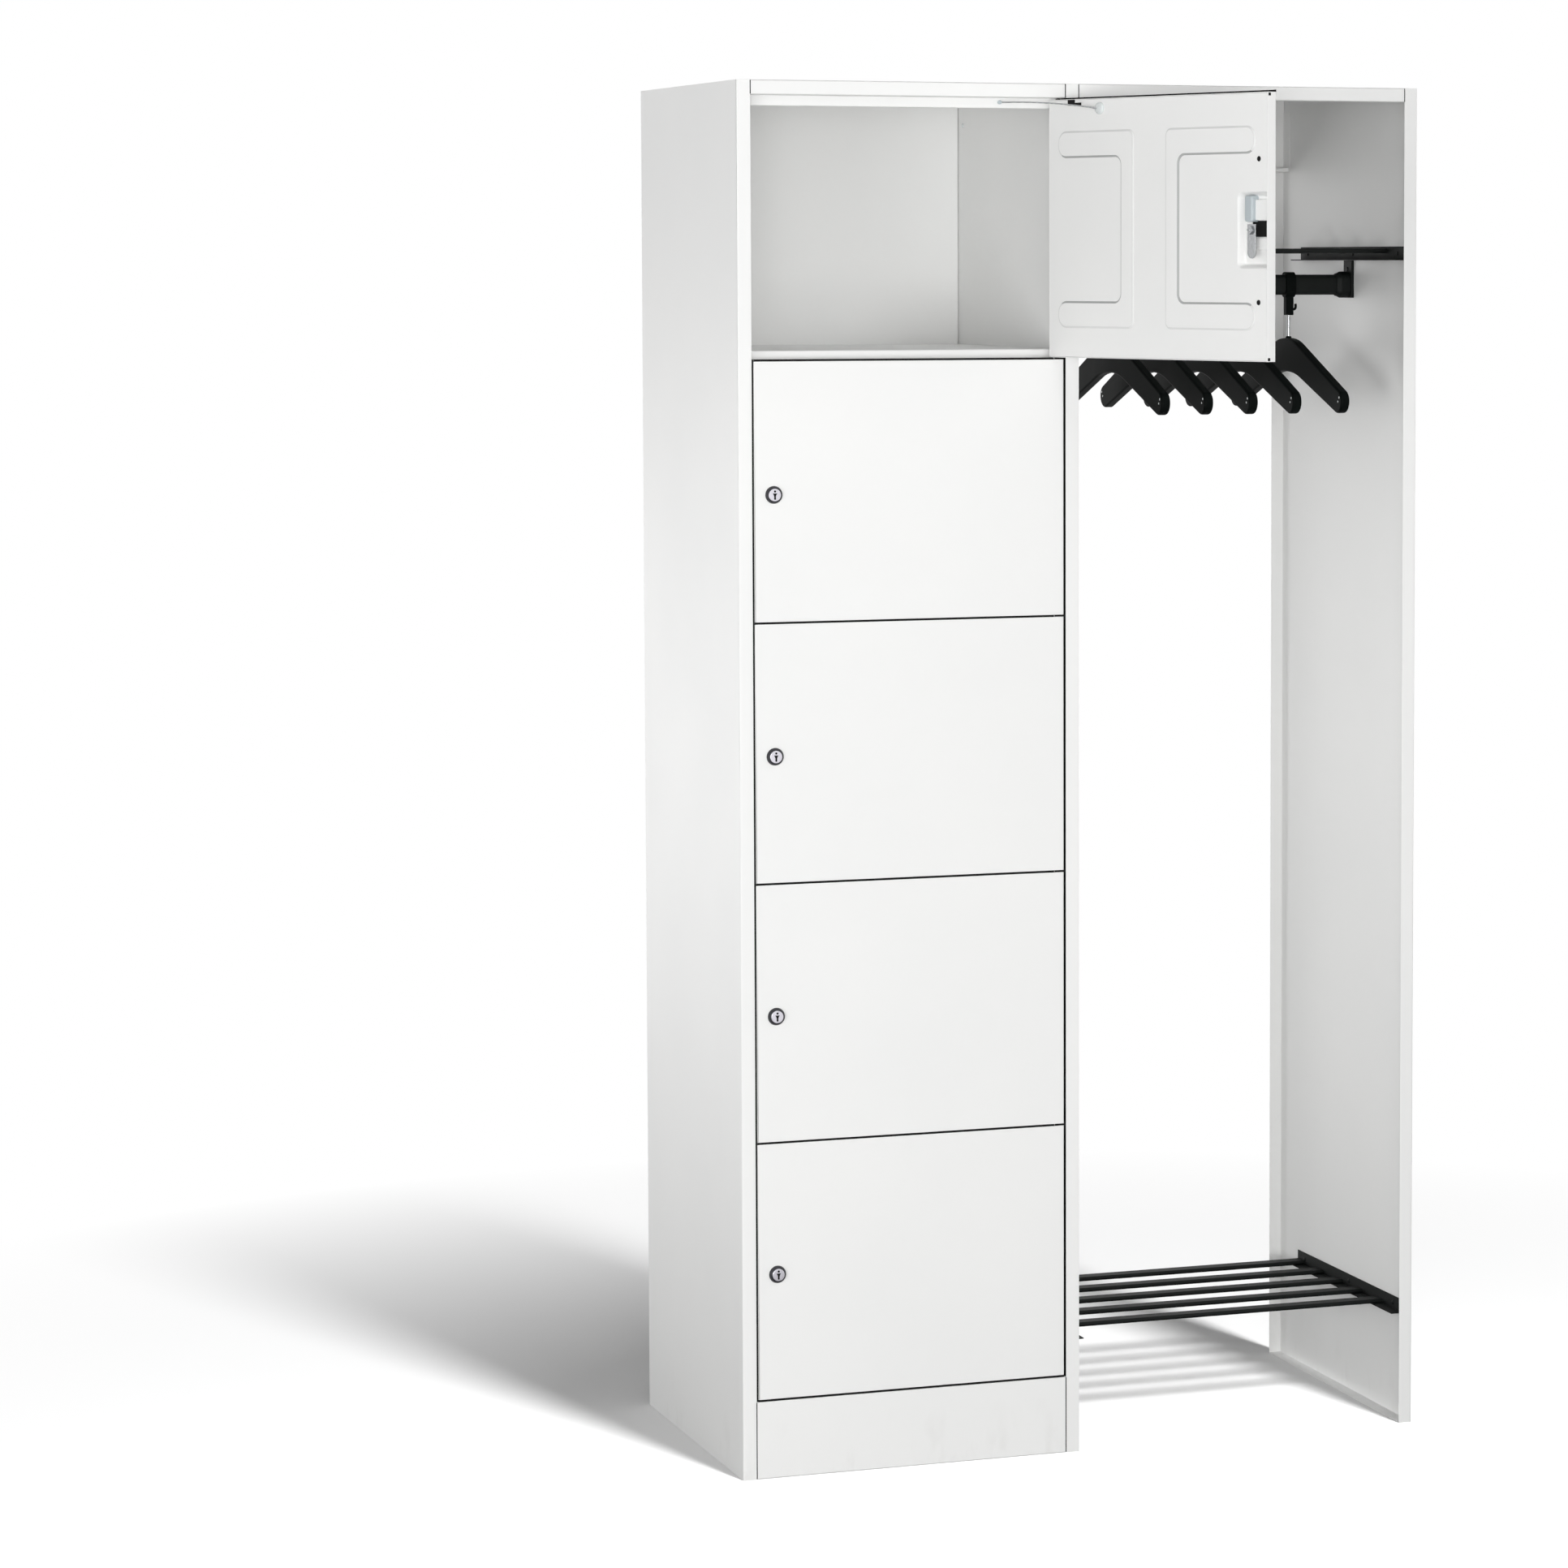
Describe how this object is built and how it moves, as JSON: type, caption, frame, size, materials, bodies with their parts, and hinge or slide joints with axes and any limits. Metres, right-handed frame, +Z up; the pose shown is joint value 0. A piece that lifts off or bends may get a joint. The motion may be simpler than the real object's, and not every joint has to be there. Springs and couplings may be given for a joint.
{
  "type": "mudroom locker unit",
  "caption": "Tall white steel cloakroom unit: a column of small lockers with hinged doors beside an open coat bay with hat shelf, coat rail, hangers and shoe rack.",
  "frame": {"origin": "on the floor under the middle of the partition between lockers and coat bay, half way front to back", "axes": "+X right along the front seen from the front, +Y back from the front face, +Z up"},
  "size_m": [1.02, 0.9202, 1.95],
  "materials": {
    "white_coat": "satin white powder coat on sheet steel",
    "black_coat": "fine black powder coat",
    "lock_black": "semi-gloss black lock body",
    "lock_chrome": "satin chrome plug and cam",
    "hanger_plastic": "fine-textured black plastic",
    "steel_cable": "thin grey coated wire rope"
  },
  "bodies": {
    "carcass": {"side_panel_left": "white_coat", "side_panel_right": "white_coat", "partition_panel": "white_coat", "partition_cover": "white_coat", "top_panel_locker": "white_coat", "top_panel_coat": "white_coat", "back_panel": "white_coat", "plinth_panel": "white_coat", "compartment_floor_1": "white_coat", "compartment_floor_2": "white_coat", "compartment_floor_3": "white_coat", "compartment_floor_4": "white_coat", "compartment_floor_5": "white_coat", "rear_rail": "white_coat", "hat_shelf": "black_coat", "shoe_rack": "black_coat", "coat_rail": "black_coat", "rail_bracket_left": "black_coat", "rail_bracket_right": "black_coat", "stay_cable_1": "steel_cable", "stay_cable_2": "steel_cable", "stay_cable_3": "steel_cable", "stay_cable_4": "steel_cable", "stay_cable_5": "steel_cable"},
    "door_1": {"door_1_pan": "white_coat", "door_1_skin": "white_coat", "lock_housing_1": "lock_black"},
    "lock_1": {"lock_plug_1": "lock_chrome", "lock_cam_1": "lock_chrome"},
    "door_2": {"door_2_pan": "white_coat", "door_2_skin": "white_coat", "lock_housing_2": "lock_black"},
    "lock_2": {"lock_plug_2": "lock_chrome", "lock_cam_2": "lock_chrome"},
    "door_3": {"door_3_pan": "white_coat", "door_3_skin": "white_coat", "lock_housing_3": "lock_black"},
    "lock_3": {"lock_plug_3": "lock_chrome", "lock_cam_3": "lock_chrome"},
    "door_4": {"door_4_pan": "white_coat", "door_4_skin": "white_coat", "lock_housing_4": "lock_black"},
    "lock_4": {"lock_plug_4": "lock_chrome", "lock_cam_4": "lock_chrome"},
    "door_5": {"door_5_pan": "white_coat", "door_5_skin": "white_coat", "lock_housing_5": "lock_black"},
    "lock_5": {"lock_plug_5": "lock_chrome", "lock_cam_5": "lock_chrome"},
    "glider_1": {"hanger_glider_1": "hanger_plastic"},
    "hanger_1": {"hanger_1": "hanger_plastic"},
    "glider_2": {"hanger_glider_2": "hanger_plastic"},
    "hanger_2": {"hanger_2": "hanger_plastic"},
    "glider_3": {"hanger_glider_3": "hanger_plastic"},
    "hanger_3": {"hanger_3": "hanger_plastic"},
    "glider_4": {"hanger_glider_4": "hanger_plastic"},
    "hanger_4": {"hanger_4": "hanger_plastic"},
    "glider_5": {"hanger_glider_5": "hanger_plastic"},
    "hanger_5": {"hanger_5": "hanger_plastic"}
  },
  "joints": [
    {"name": "door_1_hinge", "type": "hinge", "parent": "carcass", "child": "door_1", "pos_m": [-0.019, -0.245, 1.7468], "axis": [0, 0, 1], "range_deg": [-110, 0], "deforming": ["stay_cable_1"]},
    {"name": "lock_1_turn", "type": "hinge", "parent": "door_1", "child": "lock_1", "pos_m": [0.12935, -0.63796, 1.7428], "axis": [-0.9397, -0.342, 0], "range_deg": [0, 90]},
    {"name": "door_2_hinge", "type": "hinge", "parent": "carcass", "child": "door_2", "pos_m": [-0.019, -0.245, 1.3834], "axis": [0, 0, 1], "range_deg": [0, 110], "deforming": ["stay_cable_2"]},
    {"name": "lock_2_turn", "type": "hinge", "parent": "door_2", "child": "lock_2", "pos_m": [-0.439, -0.25, 1.3794], "axis": [0, 1, 0], "range_deg": [0, 90]},
    {"name": "door_3_hinge", "type": "hinge", "parent": "carcass", "child": "door_3", "pos_m": [-0.019, -0.245, 1.02], "axis": [0, 0, 1], "range_deg": [0, 110], "deforming": ["stay_cable_3"]},
    {"name": "lock_3_turn", "type": "hinge", "parent": "door_3", "child": "lock_3", "pos_m": [-0.439, -0.25, 1.016], "axis": [0, 1, 0], "range_deg": [0, 90]},
    {"name": "door_4_hinge", "type": "hinge", "parent": "carcass", "child": "door_4", "pos_m": [-0.019, -0.245, 0.6566], "axis": [0, 0, 1], "range_deg": [0, 110], "deforming": ["stay_cable_4"]},
    {"name": "lock_4_turn", "type": "hinge", "parent": "door_4", "child": "lock_4", "pos_m": [-0.439, -0.25, 0.6526], "axis": [0, 1, 0], "range_deg": [0, 90]},
    {"name": "door_5_hinge", "type": "hinge", "parent": "carcass", "child": "door_5", "pos_m": [-0.019, -0.245, 0.2932], "axis": [0, 0, 1], "range_deg": [0, 110], "deforming": ["stay_cable_5"]},
    {"name": "lock_5_turn", "type": "hinge", "parent": "door_5", "child": "lock_5", "pos_m": [-0.439, -0.25, 0.2892], "axis": [0, 1, 0], "range_deg": [0, 90]},
    {"name": "glider_1_slide", "type": "slide", "parent": "carcass", "child": "glider_1", "axis": [1, 0, 0], "range_m": [-0.025, 0.025]},
    {"name": "hanger_1_swivel", "type": "hinge", "parent": "glider_1", "child": "hanger_1", "pos_m": [0.152, -0.01, 1.6], "axis": [0, 0, 1], "range_deg": [-12, 12]},
    {"name": "glider_2_slide", "type": "slide", "parent": "carcass", "child": "glider_2", "axis": [1, 0, 0], "range_m": [-0.025, 0.025]},
    {"name": "hanger_2_swivel", "type": "hinge", "parent": "glider_2", "child": "hanger_2", "pos_m": [0.218, -0.01, 1.6], "axis": [0, 0, 1], "range_deg": [-12, 12]},
    {"name": "glider_3_slide", "type": "slide", "parent": "carcass", "child": "glider_3", "axis": [1, 0, 0], "range_m": [-0.025, 0.025]},
    {"name": "hanger_3_swivel", "type": "hinge", "parent": "glider_3", "child": "hanger_3", "pos_m": [0.287, -0.01, 1.6], "axis": [0, 0, 1], "range_deg": [-12, 12]},
    {"name": "glider_4_slide", "type": "slide", "parent": "carcass", "child": "glider_4", "axis": [1, 0, 0], "range_m": [-0.025, 0.025]},
    {"name": "hanger_4_swivel", "type": "hinge", "parent": "glider_4", "child": "hanger_4", "pos_m": [0.355, -0.01, 1.6], "axis": [0, 0, 1], "range_deg": [-12, 12]},
    {"name": "glider_5_slide", "type": "slide", "parent": "carcass", "child": "glider_5", "axis": [1, 0, 0], "range_m": [-0.025, 0.025]},
    {"name": "hanger_5_swivel", "type": "hinge", "parent": "glider_5", "child": "hanger_5", "pos_m": [0.43, -0.01, 1.6], "axis": [0, 0, 1], "range_deg": [-12, 12]}
  ]
}
